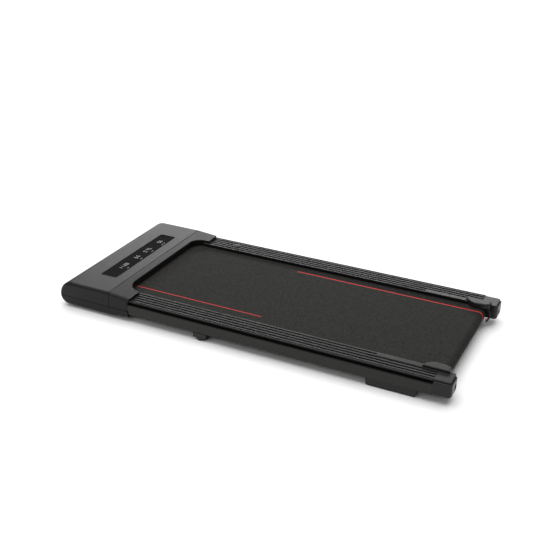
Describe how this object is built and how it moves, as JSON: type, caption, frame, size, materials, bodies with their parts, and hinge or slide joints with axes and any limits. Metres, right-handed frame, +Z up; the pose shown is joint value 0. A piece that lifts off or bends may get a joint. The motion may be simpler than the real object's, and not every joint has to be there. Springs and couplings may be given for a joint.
{
  "type": "walking pad",
  "caption": "Low motorised walking pad with a rounded plastic head and display, ribbed foot rails, a running belt on driven rollers, transport wheels, feet and a power switch.",
  "frame": {"origin": "on the floor, under the middle of the pad's bounding box", "axes": "+X from the head to the rear end, +Y to the right of a user who faces the head, +Z up"},
  "size_m": [1.24, 0.531, 0.084],
  "materials": {
    "shell_plastic": "satin moulded plastic",
    "cap_plastic": "satin moulded plastic",
    "rail_plastic": "fine ribbed plastic",
    "lens_plastic": "smoked gloss",
    "red_lens": "clear red",
    "member_paint": "satin powder coat",
    "frame_paint": "satin powder coat",
    "steel": "zinc plated",
    "iron": "laminated iron",
    "alloy": "cast or extruded",
    "belt_rubber": "fine pebbled top",
    "drive_rubber": "matt",
    "foot_rubber": "matt",
    "tyre_rubber": "matt",
    "deck_board": "laminated fibreboard",
    "inner_plastic": "matt",
    "circuit_board": "solder mask",
    "switch_plastic": "gloss moulded plastic",
    "pin_brass": "plated",
    "lead_sleeve": "smooth sleeve"
  },
  "bodies": {
    "frame": {"controller_board": "circuit_board", "controller_parts": "inner_plastic", "controller_standoffs": "inner_plastic", "cross_members": "frame_paint", "deck_cushions": "foot_rubber", "deck_screws": "steel", "digit_modules": "inner_plastic", "display_board": "circuit_board", "display_lens": "lens_plastic", "drive_belt": "drive_rubber", "edge_strips": "cap_plastic", "front_axle": "steel", "front_axle_brackets": "steel", "front_foot_brackets": "frame_paint", "head_pan": "shell_plastic", "heat_sink": "alloy", "hood_front_cover": "shell_plastic", "hood_rear_cover": "shell_plastic", "infrared_window": "red_lens", "inlet_panel": "shell_plastic", "inlet_pins": "pin_brass", "internal_leads": "lead_sleeve", "left_foot_rail": "rail_plastic", "left_front_pad": "foot_rubber", "left_rear_cap": "cap_plastic", "left_rear_foot": "foot_rubber", "left_roller_guard": "cap_plastic", "left_side_member": "member_paint", "motor_can": "steel", "motor_end_bells": "alloy", "motor_saddles": "steel", "motor_tray": "frame_paint", "pan_screws": "steel", "power_inlet": "switch_plastic", "rail_plug": "cap_plastic", "rear_axle": "steel", "rear_axle_brackets": "steel", "right_foot_rail": "rail_plastic", "right_front_pad": "foot_rubber", "right_rear_cap": "cap_plastic", "right_rear_foot": "foot_rubber", "right_roller_guard": "cap_plastic", "right_side_member": "member_paint", "running_belt": "belt_rubber", "running_deck": "deck_board", "switch_bezel": "switch_plastic", "wheel_pins": "steel"},
    "front_roller": {"front_roller_tube": "steel", "front_roller_bearings": "steel", "roller_pulley": "alloy"},
    "rear_roller": {"rear_roller_tube": "steel", "rear_roller_bearings": "steel"},
    "rotor": {"motor_rotor": "iron", "motor_pulley": "alloy", "motor_fan": "inner_plastic"},
    "left_transport_wheel": {"left_wheel": "tyre_rubber"},
    "right_transport_wheel": {"right_wheel": "tyre_rubber"},
    "rocker": {"rocker_switch": "switch_plastic"},
    "left_bolt": {"left_tension_bolt": "steel"},
    "right_bolt": {"right_tension_bolt": "steel"}
  },
  "joints": [
    {"name": "front_roller_spin", "type": "hinge", "parent": "frame", "child": "front_roller", "pos_m": [-0.418, 0, 0.0424], "axis": [0, 1, 0], "continuous": true},
    {"name": "rear_roller_spin", "type": "hinge", "parent": "frame", "child": "rear_roller", "pos_m": [0.5718, 0, 0.0424], "axis": [0, 1, 0], "continuous": true},
    {"name": "rotor_spin", "type": "hinge", "parent": "frame", "child": "rotor", "pos_m": [-0.518, 0.15, 0.041], "axis": [0, 1, 0], "continuous": true},
    {"name": "left_wheel_spin", "type": "hinge", "parent": "frame", "child": "left_transport_wheel", "pos_m": [-0.594, -0.2, 0.021], "axis": [0, 1, 0], "continuous": true},
    {"name": "right_wheel_spin", "type": "hinge", "parent": "frame", "child": "right_transport_wheel", "pos_m": [-0.594, 0.2, 0.021], "axis": [0, 1, 0], "continuous": true},
    {"name": "power_rocker", "type": "hinge", "parent": "frame", "child": "rocker", "pos_m": [-0.5984, -0.116, 0.0575], "axis": [0, 1, 0], "range_deg": [-16, 0]},
    {"name": "left_belt_tension", "type": "hinge", "parent": "frame", "child": "left_bolt", "pos_m": [0.59, -0.226, 0.0424], "axis": [1, 0, 0], "continuous": true},
    {"name": "right_belt_tension", "type": "hinge", "parent": "frame", "child": "right_bolt", "pos_m": [0.59, 0.226, 0.0424], "axis": [1, 0, 0], "continuous": true}
  ],
  "couplings": [
    {"joint": "rear_roller_spin", "follows": "front_roller_spin", "ratio": 1},
    {"joint": "rotor_spin", "follows": "front_roller_spin", "ratio": 2.598}
  ]
}
